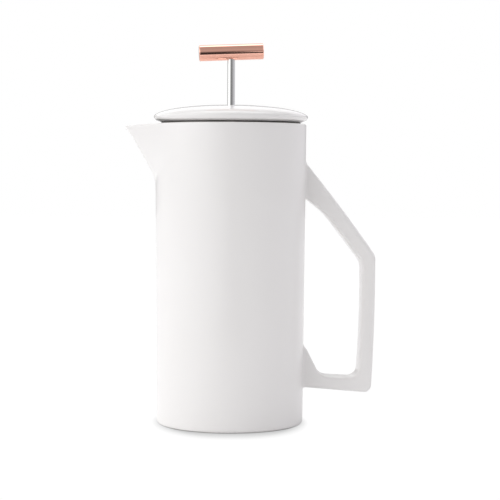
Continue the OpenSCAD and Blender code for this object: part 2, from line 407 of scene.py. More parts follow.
def outer_radius(z, angle):
    """The outside with its spout, at a height and an angle from the spout."""
    rise = (z - SPOUT_FOOT_Z) * SPOUT_SLOPE
    return v_radius(wall_radius(z), wall_radius(z) + soft_positive(rise, SPOUT_SOFT), angle)


def inner_radius(z, angle):
    """The inside with its spout, which follows the outside's a lip's thickness in."""
    rise = (z - SPOUT_FOOT_Z) * SPOUT_SLOPE + RIM_R - BORE_R - LIP * LIP_SLANT
    return v_radius(BORE_R, BORE_R + soft_positive(rise, SPOUT_SOFT), angle)


def spout_angles():
    """Angles about the axis, 0 at the spout's tip and closer together near it."""
    bands = [(0.0, 0.10, 14), (0.10, 0.9, 44), (0.9, math.pi, 60)]
    half = [a for low, high, n in bands for a in spaced(low, high, n)]
    return half + [math.pi] + [-a for a in reversed(half[1:])]


def rim_height(angle):
    """The rim dips towards the spout's tip."""
    reach = outer_radius(RIM_Z, angle) - RIM_R
    return RIM_Z - SPOUT_DIP * (max(0.0, reach) / (SPOUT_REACH - RIM_R)) ** DIP_CURVE


def pot_ring(radius_of, z_of):
    """A ring of points whose height depends on the angle, and whose radius depends on both."""
    ring = []
    for angle in spout_angles():
        z = z_of(angle)
        r = radius_of(z, angle)
        ring.append(Vector((-r * math.cos(angle), r * math.sin(angle), z)))
    return ring


def wall_rings(radius_of, heights):
    return [pot_ring(radius_of, lambda angle: z) for z in heights]


def round_rings(profile):
    """Rings without a spout, one for each point of a profile."""
    return [pot_ring(lambda z, angle: p.x, lambda angle: p.y) for p in profile]


def rim_rings(radius_of, side, turns):
    """Rings of the rim's rounded edge. side is -1 on the outside and 1 on the inside."""
    rings = []
    for t in turns:
        inset = side * RIM_EDGE * (1 - math.cos(t))
        drop = RIM_EDGE * (1 - math.sin(t))
        rings.append(pot_ring(lambda z, angle: radius_of(RIM_Z, angle) + inset,
                              lambda angle: rim_height(angle) - drop))
    return rings


def pot_rings():
    """Rings from the underside's middle, up the outside, over the rim and down to the floor's middle."""
    recess_r = FOOT_R - FOOT_RING_W
    underside = outline((0, RECESS), (recess_r, RECESS, RECESS_EDGE),
                        (recess_r + RECESS_RAMP, 0, RECESS_EDGE), (FOOT_R, 0, FOOT_EDGE),
                        (wall_radius(WALL_FROM), WALL_FROM))
    floor = outline((BORE_R, FLOOR_Z + FLOOR_FILLET * 1.2), (BORE_R, FLOOR_Z, FLOOR_FILLET), (0, FLOOR_Z))
    low_part = spaced(WALL_FROM, SPOUT_FOOT_Z - SPOUT_LEAD, 24)
    spout_part = spaced(SPOUT_FOOT_Z - SPOUT_LEAD, RIM_Z - RIM_LEAD, 40)
    inside = [z for z in low_part[1:] + spout_part if z > FLOOR_Z + FLOOR_FILLET]
    quarter = [math.radians(15 * i) for i in range(7)]
    rings = [[Vector((0, 0, RECESS))]]
    rings += round_rings(underside[1:-1])
    rings += wall_rings(outer_radius, low_part + spout_part)
    rings += rim_rings(outer_radius, -1, quarter)
    rings += rim_rings(inner_radius, 1, reversed(quarter))
    rings += wall_rings(inner_radius, reversed(inside))
    rings += round_rings(floor[1:-1])
    rings.append([Vector((0, 0, FLOOR_Z))])
    return rings


def make_pot():
    pot = add_piece("pot", loft(pot_rings()), "pot", "glaze", "pot_shell",
                    materials=(GLAZE, BISQUE), sharp=60)
    leave_bare(pot, BARE_BELOW, 0.5)
    return pot


# ------------------------ handle

HANDLE_HALF = (HANDLE_HIGH.y - HANDLE_LOW.y) / 2
HANDLE_EDGE = 2.4 * MM              # rounding along the handle's edges
ARM_W = 9.6 * MM
LOW_ARM_W = 9.1 * MM
GRIP_W = 8.4 * MM
GRIP_LEAN = math.radians(1.45)
LOW_RISE = math.radians(5.0)        # how the lower arm's edges rise to the pot, outside and inside
LOW_IN_RISE = math.radians(3.4)
LOW_WAY = flat(-math.cos(LOW_RISE), math.sin(LOW_RISE))
LOW_IN_WAY = flat(-math.cos(LOW_IN_RISE), math.sin(LOW_IN_RISE))
GRIP_BOW = 0.6 * MM                 # how far the grip and the upper arm bulge outwards
ARM_BOW = 0.7 * MM
ELBOW = flat(90.8 * MM, 104.8 * MM)
ELBOW_ROUND = (9 * MM, 12 * MM)     # radii of the corners, outside and inside
LOW_ROUND = (4.5 * MM, 6 * MM)
ROOT = flat(RIM_R - 0.5 * MM, 162.8 * MM)
UPPER_ROOT_Z = 150 * MM             # about where each arm meets the wall
LOWER_ROOT_Z = 30 * MM
UPPER_FLARE = 11.7 * MM             # how far from the wall each arm starts to flare
LOWER_FLARE = 9.2 * MM
UPPER_FLARE_WAY = flat(-1, 0.8)
LOWER_FLARE_RUN = flat(-8.3 * MM, 16.5 * MM)
UPPER_FLARE_BEND = 45 * MM
LOWER_FLARE_BEND = 9 * MM
LOWER_SHOULDER = 2 * MM             # rounding where the lower flare turns into the wall
ROOT_FILLET = 1.5 * MM              # where the handle is luted to the wall
ROOT_DEPTH = 1.6 * MM               # how far the handle's ends go into the wall


def fan(outer, inner, radii):
    """Pairs of points round a corner. Outer and inner are (before, corner, after)."""
    return list(zip(corner_arc(*outer, radii[0], 10), corner_arc(*inner, radii[1], 10)))


def between(pair_a, pair_b, n):
    """Pairs strictly between two pairs."""
    return [(pair_a[0].lerp(pair_b[0], i / n), pair_a[1].lerp(pair_b[1], i / n)) for i in range(1, n)]


def bowed(p, a, b, height):
    """A point of the segment ab, moved to its left by a parabola that is height tall in the middle."""
    t = (p - a).dot(b - a) / (b - a).length_squared
    return right_of(p, (b - a).normalized(), -4 * height * t * (1 - t))


def upper_arm(elbow_in, elbow_pair):
    """Pairs from the wall to the elbow. The arm's underside flares towards the pot."""
    way = (ELBOW - ROOT).normalized()
    wall = wall_radius(UPPER_ROOT_Z) - ROOT_DEPTH
    flare = along(elbow_in, way, RIM_R + UPPER_FLARE)
    flare_end = along(flare, UPPER_FLARE_WAY, wall)
    under = corner_arc(flare_end, flare, elbow_in, UPPER_FLARE_BEND, 10)
    top = along(ROOT, way, wall)
    over = [top.lerp(elbow_pair[0], 0.06 + 0.06 * i) for i in range(11)]
    pairs = [(top, flare_end)] + between((top, flare_end), (over[0], under[0]), 8)
    pairs += list(zip(over, under))
    pairs += between(pairs[-1], elbow_pair, 6)
    return [(bowed(o, top, ELBOW, ARM_BOW), i) for o, i in pairs]


def lower_arm(low, low_in, low_pair):
    """Pairs from the low corner to the wall. The arm's top flares steeply up towards the pot."""
    wall = wall_radius(LOWER_ROOT_Z) - ROOT_DEPTH
    flare = along(low_in, LOW_IN_WAY, RIM_R + LOWER_FLARE)
    flare_end = flare + LOWER_FLARE_RUN
    last = along(flare_end, flat(-1, 1), wall)
    bend = corner_arc(low_in, flare, flare_end, LOWER_FLARE_BEND, 12)
    shoulder = corner_arc(flare, flare_end, last, LOWER_SHOULDER, 4)
    over = bend + [bend[-1].lerp(shoulder[0], i / 6) for i in range(1, 6)] + shoulder
    over += [shoulder[-1].lerp(last, i / 3) for i in (1, 2, 3)]
    bottom = along(low, LOW_WAY, wall)
    n = len(over) - 1
    first, crowding = 0.35, 0.8
    shares = [first + (1 - first) * (i / n) ** crowding for i in range(n + 1)]
    under = [low_pair[0].lerp(bottom, share) for share in shares]
    run = list(zip(under, over))
    return between(low_pair, run[0], 8) + run


def handle_stations():
    """Pairs of points, outside and inside, that the sections span, from the upper root to the lower."""
    low_z = HANDLE_LOW.z
    low = flat(ELBOW.x - (ELBOW.y - low_z) * math.tan(GRIP_LEAN), low_z)
    arm_way = (ELBOW - ROOT).normalized()
    grip_way = (low - ELBOW).normalized()
    grip_in = right_of(ELBOW, grip_way, GRIP_W)
    elbow_in = meet(right_of(ROOT, arm_way, ARM_W), arm_way, grip_in, grip_way)
    low_in = meet(grip_in, grip_way, right_of(low, LOW_WAY, LOW_ARM_W), LOW_IN_WAY)
    elbow_fan = fan((ROOT, ELBOW, low), (elbow_in - arm_way, elbow_in, low_in), ELBOW_ROUND)
    low_fan = fan((ELBOW, low, low + LOW_WAY), (elbow_in, low_in, low_in + LOW_IN_WAY), LOW_ROUND)
    grip = [elbow_fan[-1]] + between(elbow_fan[-1], low_fan[0], 18) + [low_fan[0]]
    (top_out, top_in), (low_out, low_inside) = grip[0], grip[-1]
    grip = [(bowed(o, top_out, low_out, GRIP_BOW), bowed(i, top_in, low_inside, GRIP_BOW)) for o, i in grip]
    arm = upper_arm(elbow_in, elbow_fan[0])
    return arm + elbow_fan[:-1] + grip + low_fan[1:] + lower_arm(low, low_in, low_fan[-1])


def section_ring(outer, inner):
    """A rounded rectangle that spans outer to inner in the handle's plane, and its thickness across."""
    middle = (outer + inner) / 2
    half = (outer - inner) / 2
    length = half.length
    way = half.normalized()
    edge = min(HANDLE_EDGE, length * 0.6)
    across = HANDLE_HALF
    corners = ((length, -across), (length, across), (-length, across), (-length, -across))
    ring = []
    for i, corner in enumerate(corners):
        before = flat(*corners[i - 1])
        after = flat(*corners[(i + 1) % 4])
        arc = corner_arc(before, flat(*corner), after, edge, 6)
        ring += arc
        end = corner_arc(flat(*corner), after, flat(*corners[(i + 2) % 4]), edge, 6)[0]
        ring += [arc[-1].lerp(end, k / 4) for k in (1, 2, 3)]
    return [Vector((middle.x + way.x * p.x, p.y, middle.y + way.y * p.x)) for p in ring]


def luted(point, centre):
    """Spreads a point near the wall outwards, so that the handle meets the pot in a fillet."""
    across = math.hypot(point.x, point.y)
    gap = across - wall_radius(point.z)
    if gap >= ROOT_FILLET:
        return point
    depth = ROOT_FILLET - max(gap, 0.0)
    spread = ROOT_FILLET - math.sqrt(max(0.0, ROOT_FILLET ** 2 - depth ** 2))
    away = Vector((0, point.y - centre.y, point.z - centre.z))
    return point + away.normalized() * spread if away.length > 0 else point


def make_handle():
    rings = []
    for outer, inner in handle_stations():
        centre = Vector(((outer.x + inner.x) / 2, 0, (outer.y + inner.y) / 2))
        rings.append([luted(p, centre) for p in section_ring(outer, inner)])
    return add_piece("loop_handle", loft(rings), "pot", "glaze", "handle", materials=(GLAZE,), sharp=70)


# ------------------------ washers, nuts and threads

PLAY = 0.05 * MM                    # air between parts that slide or screw into each other
NUT_FACE = 0.96                     # a nut's flat faces reach this share of the way to its sides
NUT_CHAMFER = math.radians(30)
NUT_SINK = 0.35 * MM                # countersink of its bore
THREAD_DEPTH = 0.28                 # half the height of a thread, as a share of its pitch


def add_washer(node, body, slot, material, bore_r, bevel):
    """A washer with rounded edges that fills its node's box."""
    low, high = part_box(node)
    profile = outline((bore_r, low.z, bevel), (high.y, low.z, bevel), (high.y, high.z, bevel),
                      (bore_r, high.z, bevel), closed=True, steps=3)
    shape = revolved(profile, turned(96), closed=True)
    return add_piece(node + "_ring", shape, body, slot, node, materials=(material,), sharp=50)


def hex_radius(angle, flats):
    """Distance from a nut's axis to its sides, at an angle. One corner points along X."""
    sixth = TURN / 6
    return flats / 2 / math.cos(angle % sixth - sixth / 2)


def add_nut(node, body, bore_r):
    """A hexagon nut, chamfered at both faces, with a countersunk bore."""
    low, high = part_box(node)
    flats = high.y - low.y
    face_r = flats / 2 * NUT_FACE
    angles = turned(144)

    def side(a):
        return hex_radius(a, flats)

    def drop(a):
        return (side(a) - face_r) * math.tan(NUT_CHAMFER)

    rings = [
        ring_at(bore_r, low.z + NUT_SINK, angles),
        ring_at(bore_r + NUT_SINK, low.z, angles),
        ring_at(face_r, low.z, angles),
        ring_at(side, lambda a: low.z + drop(a), angles),
        ring_at(side, lambda a: high.z - drop(a), angles),
        ring_at(face_r, high.z, angles),
        ring_at(bore_r + NUT_SINK, high.z, angles),
        ring_at(bore_r, high.z - NUT_SINK, angles),
    ]
    return add_piece(node + "_hex", loft(rings, closed=True), body, "polished_steel", node,
                     materials=(POLISHED,), sharp=20)


def threaded(radius, low, high, pitch, angles):
    """Rings of a rounded thread between two heights, whose crests reach radius. It fades out at its ends."""
    depth = THREAD_DEPTH * pitch
    n = int((high - low) / pitch * 8)
    rings = []
    for k in range(n + 1):
        z = low + (high - low) * k / n
        fade = min(1.0, (z - low) / pitch, (high - z) / pitch)
        rings.append(ring_at(
            lambda a: radius - depth * fade * (1 - math.cos(TURN * z / pitch - a)), z, angles))
    return rings


# ------------------------ sheets with holes

SHEET_T = 0.8 * MM
SHEET_EDGE = 0.12 * MM              # rounding of its cut edges
SEAM = 0.002 * MM                   # points closer than this are one
SIDE_STEPS = 10                     # points to a side of a hole, and of the cell round it


def side_shares():
    """Shares of a side's length, closer together near its ends."""
    return [(1 - math.cos(math.pi * k / SIDE_STEPS)) / 2 for k in range(SIDE_STEPS)]


def rectangle_loop(half_w, half_h):
    corners = [flat(-half_w, -half_h), flat(half_w, -half_h), flat(half_w, half_h), flat(-half_w, half_h)]
    return [a.lerp(b, t) for a, b in zip(corners, corners[1:] + corners[:1]) for t in side_shares()]


def round_off(p, half_w, half_h, corner):
    """Moves a point of a rectangle's outline on to the outline with rounded corners."""
    core_w, core_h = half_w - corner, half_h - corner
    inside = flat(max(-core_w, min(core_w, p.x)), max(-core_h, min(core_h, p.y)))
    return inside + (p - inside).normalized() * corner


def holed_cells(cell, hole, corner, count, place):
    """Cells side by side, each with a round-cornered hole. place(i, p) sets point p of cell i in space."""
    half_w, half_h = hole[0] / 2, hole[1] / 2
    outside = rectangle_loop(cell[0] / 2, cell[1] / 2)
    inside = [round_off(p, half_w, half_h, corner) for p in rectangle_loop(half_w, half_h)]
    cells = []
    size = len(outside)
    for i in range(count):
        verts = [place(i, p) for p in outside + inside]
        faces = [(k, (k + 1) % size, size + (k + 1) % size, size + k) for k in range(size)]
        cells.append((verts, faces))
    return joined(cells)


def cell_angles(count):
    """The angles of the points along the cells' shared rows."""
    pitch = TURN / count
    return [(i - 0.5 + t) * pitch for i in range(count) for t in side_shares()]


def add_sheet(name, parts, body, node):
    """A sheet piece from several (verts, faces) that share edges, thickened about its middle."""
    crisp = 35
    piece = add_piece(name, joined(parts), body, "sheet_steel", node, materials=(SHEET,), sharp=crisp)
    bm = bmesh.new()
    bm.from_mesh(piece.data)
    bmesh.ops.remove_doubles(bm, verts=bm.verts, dist=SEAM)
    bmesh.ops.recalc_face_normals(bm, faces=bm.faces)
    bm.to_mesh(piece.data)
    bm.free()
    piece.data.set_sharp_from_angle(angle=math.radians(crisp))
    solid = piece.modifiers.new("sheet", "SOLIDIFY")
    solid.thickness = SHEET_T
    solid.offset = 0
    solid.use_even_offset = True
    bevel = piece.modifiers.new("worn_edges", "BEVEL")
    bevel.width = SHEET_EDGE
    bevel.segments = 2
    bevel.limit_method = "ANGLE"
    bevel.angle_limit = math.radians(50)
    return piece


def add_windowed_plate(node, name, windows, window_deg, r_in, r_out, inner, outer):
    """A round plate with a ring of windows from r_in to r_out.

    inner and outer are its profiles within and beyond them, as radii and heights about its middle."""
    low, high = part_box(node)
    z = (low.z + high.z) / 2
    middle = (r_in + r_out) / 2
    margin, corner = 1.2 * MM, 1.5 * MM
    pitch = TURN / windows

    def place(i, p):
        r, a = middle + p.y, i * pitch + p.x / middle
        return Vector((r * math.cos(a), r * math.sin(a), z))

    cells = holed_cells((pitch * middle, r_out - r_in + 2 * margin),
                        (math.radians(window_deg) * middle, r_out - r_in), corner, windows, place)
    angles = cell_angles(windows)
    inside = [flat(r, z + h) for r, h in inner] + [flat(r_in - margin, z)]
    outside = [flat(r_out + margin, z)] + [flat(r, z + h) for r, h in outer]
    return add_sheet(name, [revolved(inside, angles), cells, revolved(outside, angles)], "filter", node)


# ------------------------ lid

SEAL_W = 1.7 * MM
DOME_EDGE_H = 3.1 * MM              # the lid is widest this far above its foot
DOME_HOLLOW_H = 4 * MM
DOME_HOLLOW_R = 36 * MM
DOME_FOOT_IN_R = 37.5 * MM
DOME_BORE_R = 4.1 * MM
SEAT_R = 7.5 * MM                   # sunk seat of the bush's flange
SEAT_DEPTH = 1.7 * MM


def make_seal():
    r = SEAL_HIGH.y
    low, high = SEAL_LOW.z, SEAL_HIGH.z
    profile = outline((r - SEAL_W, low, 0.3 * MM), (r, low, 0.45 * MM), (r, high, 0.45 * MM),
                      (r - SEAL_W, high, 0.3 * MM), closed=True, steps=4)
    shape = revolved(profile, turned(128), closed=True)
    return add_piece("seal_ring", shape, "lid_ring", "silicone", "lid_seal", materials=(SILICONE,))


def make_dome():
    """Hollow dome that curves in below its widest edge. Its foot is unglazed."""
    foot_z = LID_LOW.z
    edge_z = foot_z + DOME_EDGE_H
    hollow_z = foot_z + DOME_HOLLOW_H
    lower = outline((DOME_BORE_R, hollow_z), (DOME_HOLLOW_R, hollow_z, 1.5 * MM),
                    (DOME_FOOT_IN_R, foot_z, 0.5 * MM), (SEAL_HIGH.y, foot_z, 0.5 * MM),
                    (LID_R - 1.0 * MM, edge_z - 1.9 * MM, 2.0 * MM), (LID_R, edge_z))
    height = LID_HIGH.z - edge_z
    arc = [math.radians(3 * i) for i in range(30)]
    dome = [flat(LID_R * math.cos(a), edge_z + height * math.sin(a)) for a in arc]
    top = LID_HIGH.z - 0.1 * MM
    rest_r = SEAT_R + 1 * MM
    crown = [p for p in dome if p.x > rest_r]
    seat = outline((rest_r, top), (SEAT_R, top, 0.4 * MM), (SEAT_R, top - SEAT_DEPTH),
                   (DOME_BORE_R, top - SEAT_DEPTH))
    shape = revolved(lower[:-1] + crown + seat, turned(192), closed=True)
    piece = add_piece("dome", shape, "lid", "glaze", "lid_dome", materials=(GLOSS, BISQUE))
    leave_bare(piece, foot_z + 0.2 * MM, 0.9)
    return piece


BUSH_R = 4 * MM
BUSH_BORE = ROD_R + PLAY
FLANGE_T = 0.9 * MM


def make_bush():
    """Flanged bush with a rounded mouth. Its lower end is threaded for the nut."""
    low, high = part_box("guide_bush")
    flange_z = high.z - FLANGE_T
    angles = turned(64)
    rings = [ring_at(BUSH_BORE, low.z + 0.3 * MM, angles), ring_at(BUSH_BORE + 0.3 * MM, low.z, angles),
             ring_at(BUSH_R - 0.5 * MM, low.z, angles)]
    rings += threaded(BUSH_R, low.z + 0.2 * MM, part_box("guide_nut")[1].z, 1.0 * MM, angles)
    upper = outline((BUSH_R, flange_z - 5 * MM), (BUSH_R, flange_z), (high.y, flange_z, 0.15 * MM),
                    (high.y, high.z, 0.45 * MM), (BUSH_BORE, high.z, 0.5 * MM),
                    (BUSH_BORE, flange_z - 2 * MM))
    rings += [ring_at(p.x, p.y, angles) for p in upper]
    shape = loft(rings, closed=True)
    return add_piece("bush", shape, "lid", "polished_steel", "guide_bush", materials=(POLISHED,))


SLOTS = 28
SLOT_W = 2.6 * MM
SLOT_H = 6 * MM
SLOT_MARGIN = 1.2 * MM              # sheet above and below the slots that belongs to their cells
SLOT_END_R = 0.499 * SLOT_W         # nearly half the width, so their ends are round
HEM_H = 2 * MM
STEP_H = 0.6 * MM                   # the pan's top is sunk between two radii
STEP_IN_R, STEP_OUT_R = 13 * MM, 30 * MM
STEP_RAMP = 1 * MM


def make_strainer():
    """Pressed pan whose skirt is slotted all round."""
    low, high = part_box("lid_strainer")
    r = high.y - SHEET_T / 2
    top = high.z - SHEET_T / 2
    cell_h = SLOT_H + 2 * SLOT_MARGIN
    middle = low.z + HEM_H + SLOT_H / 2
    pitch = TURN / SLOTS

    def place(i, p):
        a = i * pitch + p.x / r
        return Vector((r * math.cos(a), r * math.sin(a), middle + p.y))

    cells = holed_cells((pitch * r, cell_h), (SLOT_W, SLOT_H), SLOT_END_R, SLOTS, place)
    angles = cell_angles(SLOTS)
    hem = [flat(r, low.z), flat(r, middle - cell_h / 2)]
    pan = outline((r, middle + cell_h / 2), (r, top, 1.4 * MM),
                  (STEP_OUT_R, top, STEP_RAMP), (STEP_OUT_R - STEP_RAMP, top - STEP_H, STEP_RAMP),
                  (STEP_IN_R + STEP_RAMP, top - STEP_H, STEP_RAMP), (STEP_IN_R, top, STEP_RAMP),
                  (BUSH_R + PLAY, top))
    parts = [revolved(hem, angles), cells, revolved(pan, angles)]
    return add_sheet("strainer", parts, "lid", "lid_strainer")


def make_lid_fittings():
    make_bush()
    add_washer("guide_seal", "lid", "silicone", SILICONE, BUSH_R + PLAY, 0.15 * MM)
    make_strainer()
    add_washer("guide_washer", "lid", "sheet_steel", SHEET, BUSH_R + PLAY, 0.12 * MM)
    add_nut("guide_nut", "lid", BUSH_R + PLAY)


# ------------------------ filter

def make_hub():
    """Boss under the stack: a flange, and a barrel that centres the plates. Its bore is left plain."""
    low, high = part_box("filter_hub")
    bore = ROD_R + PLAY
    flange_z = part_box("cross_plate")[0].z
    profile = outline((bore, low.z, 0.3 * MM), (high.y, low.z, 0.4 * MM), (high.y, flange_z, 0.15 * MM),
                      (BUSH_R, flange_z), (BUSH_R, high.z, 0.3 * MM), (bore, high.z, 0.3 * MM), closed=True)
    shape = revolved(profile, turned(96), closed=True)
    return add_piece("hub", shape, "filter", "polished_steel", "filter_hub", materials=(POLISHED,))


def make_plates():
    """A cross under the screen with its rim turned down, and a plate above it with its rim turned up."""
    hole_r = BUSH_R + PLAY
    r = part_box("cross_plate")[1].y
    add_windowed_plate(
        "cross_plate", "cross", windows=4, window_deg=68, r_in=14 * MM, r_out=r - 4.5 * MM,
        inner=((hole_r, 0), (8 * MM, 0)),
        outer=((r - 1.6 * MM, 0), (r - 0.8 * MM, -0.2 * MM), (r - 0.4 * MM, -1.0 * MM)))
    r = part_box("spring_plate")[1].y
    add_windowed_plate(
        "spring_plate", "top_plate", windows=12, window_deg=18, r_in=16 * MM, r_out=r - 3.5 * MM,
        inner=((hole_r, 0), (9 * MM, 0)),
        outer=((r - 1.3 * MM, 0), (r - 0.7 * MM, 0.2 * MM), (r - 0.4 * MM, 1.1 * MM)))


def tube_loop(points, axes, sides):
    """A closed tube through points, whose sections are given by pairs of axes."""
    rings = []
    for centre, (u, v) in zip(points, axes):
        rings.append([centre + u * math.cos(a) + v * math.sin(a) for a in turned(sides)])
    return loft(rings, closed=True)


SPRING_WIRE_R = 0.28 * MM
SPRING_TURNS = 190
SPRING_STEPS = 12                   # points to a turn


def make_edge_spring():
    """A long thin coil spring closed into a ring."""
    coil = (SPRING_HIGH.z - SPRING_LOW.z) / 2
    ring_r = SPRING_HIGH.x - coil
    middle = Vector((0, 0, (SPRING_LOW.z + SPRING_HIGH.z) / 2))
    path = coil - SPRING_WIRE_R
    points, axes = [], []
    for i in range(SPRING_TURNS * SPRING_STEPS):
        a = TURN * i / (SPRING_TURNS * SPRING_STEPS)
        b = TURN * i / SPRING_STEPS
        outward = Vector((math.cos(a), math.sin(a), 0))
        round_ring = Vector((-math.sin(a), math.cos(a), 0))
        spoke = outward * math.cos(b) + Vector((0, 0, math.sin(b)))
        swing = -outward * math.sin(b) + Vector((0, 0, math.cos(b)))
        onward = round_ring * (ring_r + path * math.cos(b)) / SPRING_TURNS + swing * path
        side = onward.normalized().cross(spoke)
        points.append(outward * ring_r + spoke * path + middle)
        axes.append((spoke * SPRING_WIRE_R, side * SPRING_WIRE_R))
    return add_piece("coil_ring", tube_loop(points, axes, 6), "filter", "spring_wire", "edge_spring",
                     materials=(WIRE,), sharp=80)


WEAVE_PITCH = 0.8 * MM
WEAVE_WIRE_R = 0.11 * MM
WEAVE_LIFT = 1.02 * WEAVE_WIRE_R    # a wire rises and sinks this far, so that it clears the others


def crossings(row, along_x, half, hole_r):
    """The lengths of one wire on both sides of the hole, as lists of (place along it, lift)."""
    offset = (row + 0.5) * WEAVE_PITCH
    reach = math.sqrt(max(0.0, half * half - offset * offset))
    n = int(reach / WEAVE_PITCH - 0.5)
    lengths = [[]]
    for k in range(-n - 1, n + 1):
        at = (k + 0.5) * WEAVE_PITCH
        if math.hypot(at, offset) >= hole_r:
            lengths[-1].append((at, WEAVE_LIFT * (1 if (k + row + along_x) % 2 else -1)))
        elif lengths[-1]:
            lengths.append([])
    return [length for length in lengths if len(length) > 1]


def woven_wire(row, along_x, z, half, hole_r):
    """One wire of the weave, over and under the wires that it crosses, in one or two lengths."""
    offset = (row + 0.5) * WEAVE_PITCH
    r = WEAVE_WIRE_R
    strands = []
    for length in crossings(row, along_x, half, hole_r):
        rings = []
        for at, lift in length:
            ring = [(offset + r, lift), (offset, lift + r), (offset - r, lift), (offset, lift - r)]
            rings.append([Vector((at, side, z + h) if along_x else (side, at, z + h)) for side, h in ring])
        verts, faces = loft(rings)
        faces.append((3, 2, 1, 0))
        faces.append(tuple(range(len(verts) - 4, len(verts))))
        strands.append((verts, faces))
    return joined(strands)


def make_mesh_screen():
    """Woven screen, bound at its edge."""
    low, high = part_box("mesh_screen")
    z = (low.z + high.z) / 2
    edge_r = high.y
    bound_r = edge_r - 1.0 * MM
    half = edge_r - 0.5 * MM
    rows = int(half / WEAVE_PITCH)
    parts = [woven_wire(row, along_x, z, half, BUSH_R + 0.4 * MM)
             for row in range(-rows, rows) for along_x in (0, 1)]
    bound = outline((bound_r, low.z, 0.15 * MM), (edge_r, low.z, 0.2 * MM), (edge_r, high.z, 0.2 * MM),
                    (bound_r, high.z, 0.15 * MM), closed=True, steps=3)
    parts.append(revolved(bound, turned(160), closed=True))
    return add_piece("woven_screen", joined(parts), "filter", "woven_steel", "mesh_screen",
                     materials=(WIRE,), sharp=80)


def make_filter():
    make_hub()
    make_plates()
    make_mesh_screen()
    make_edge_spring()
    add_washer("clamp_washer", "filter", "sheet_steel", SHEET, BUSH_R + PLAY, 0.12 * MM)


# ------------------------ plunger

KNOB_LEAN = math.radians(2.4)
KNOB_LENGTH = 40 * MM
KNOB_R = KNOB_HIGH.y
KNOB_CUT = 0.4 * MM                 # chamfer of its ends
ROD_EDGE = 0.3 * MM
ROD_PITCH = 0.8 * MM


def make_rod():
    """Polished rod, threaded at its lower end for the hub and the lock nut."""
    angles = turned(48)
    low, high = ROD_LOW.z, ROD_HIGH.z
    thread_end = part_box("lock_nut")[1].z + 3 * MM
    rings = [[Vector((0, 0, low))], ring_at(ROD_R - 0.5 * MM, low, angles)]
    rings += threaded(ROD_R, low + 0.4 * MM, thread_end, ROD_PITCH, angles)
    rings += [ring_at(ROD_R, thread_end + 1 * MM, angles), ring_at(ROD_R, high - ROD_EDGE, angles)]
    rings += [ring_at(ROD_R - ROD_EDGE, high, angles), [Vector((0, 0, high))]]
    return add_piece("rod", loft(rings), "plunger", "polished_steel", "plunger_rod", materials=(POLISHED,))


def make_knob():
    """A bar across the rod. It leans a little, as in the photo."""
    half = KNOB_LENGTH / 2
    end = [(0, -half), (KNOB_R - KNOB_CUT, -half, 0.12 * MM), (KNOB_R, -half + KNOB_CUT, 0.15 * MM)]
    other = [(x, -y, *rest) for x, y, *rest in reversed(end)]
    verts, faces = revolved(outline(*end, *other), turned(96))
    middle = (KNOB_LOW + KNOB_HIGH) / 2
    turn = Matrix.Translation(middle) @ Matrix.Rotation(math.pi / 2 - KNOB_LEAN, 4, "Y")
    shape = [turn @ v for v in verts], faces
    return add_piece("bar_knob", shape, "plunger", "copper", "knob_bar", materials=(COPPER,), sharp=30)


# ------------------------ studio

VIEW_TURN = math.radians(4.0)       # the handle is turned this much away from the camera
CAMERA_LENS, CAMERA_SENSOR = 110, 36
CAMERA_GAP = 955 * MM
CAMERA_SHIFT = 12.3 * MM
CAMERA_Z = 158 * MM
CAMERA_TILT = math.radians(3.0)
CAMERA_ROLL = math.radians(0.3)


def make_camera():
    data = bpy.data.cameras.new("camera")
    data.lens = CAMERA_LENS
    data.sensor_width = CAMERA_SENSOR
    camera = bpy.data.objects.new("camera", data)
    bpy.context.scene.collection.objects.link(camera)
    turn = Matrix.Rotation(-VIEW_TURN, 4, "Z")
    stand = turn @ Vector((CAMERA_SHIFT, -CAMERA_GAP, CAMERA_Z))
    look = turn @ Matrix.Rotation(math.pi / 2 - CAMERA_TILT, 4, "X") @ Matrix.Rotation(CAMERA_ROLL, 4, "Z")
    camera.matrix_world = Matrix.Translation(stand) @ look
    bpy.context.scene.camera = camera


TABLE_HALF = 4.0
TABLE_ALBEDO = 0.92
TABLE_SHOWN = 1.02                  # glow of the open table as the camera sees it, away from the painted shadow
NOTCH_HALF = 0.2
NOTCH_Y = -0.45
PAINTED_SHADOW_REACH = 28 * MM              # how far the painted contact shadow spreads on the table
PAINTED_SHADOW_OVAL = (49.5 * MM, 78 * MM)  # the painted shadow ends at this oval, narrow at the sides and long to the front and back
PAINTED_SHADOW_FADE = 0.78                  # and starts to fade at this share of it


